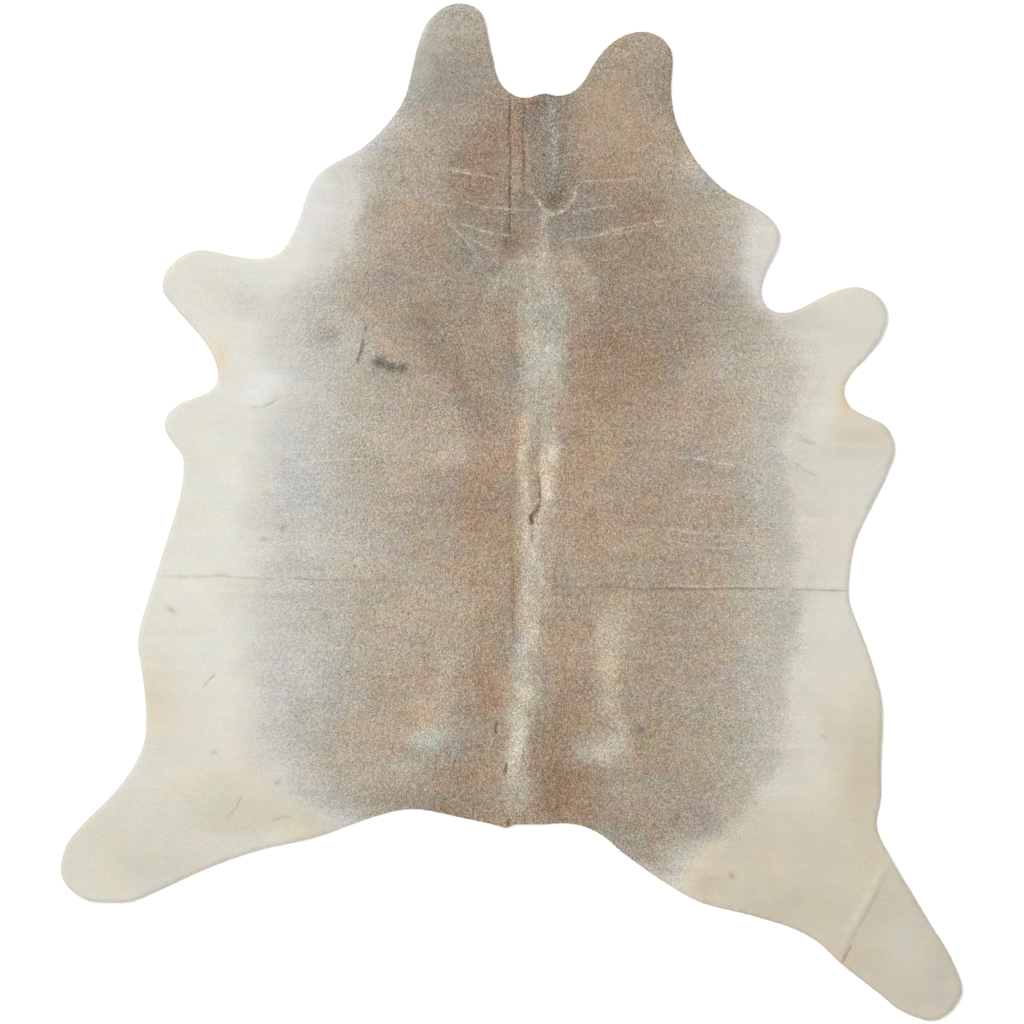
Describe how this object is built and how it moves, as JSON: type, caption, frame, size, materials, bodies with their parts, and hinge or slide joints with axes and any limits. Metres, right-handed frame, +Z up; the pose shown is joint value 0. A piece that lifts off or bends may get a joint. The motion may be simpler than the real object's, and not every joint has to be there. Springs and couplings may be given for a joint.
{
  "type": "cowhide rug",
  "caption": "Flat one-piece cowhide rug, hair side up, with head lobes, leg ends and a notched tail edge, lying with soft folds.",
  "frame": {"origin": "on the floor, under the middle of the hide's outline", "axes": "+Y to the head, +X to the hide's right edge seen from above, +Z up"},
  "size_m": [2.0248, 2.2857, 0.0099],
  "materials": {
    "hair": "short matt hair on tanned leather, grey-brown roan on the back, cream on belly and legs",
    "flesh_side": "buffed pale suede under the rug and along its cut edge"
  },
  "bodies": {
    "root": {"hide": "hair"}
  },
  "joints": []
}
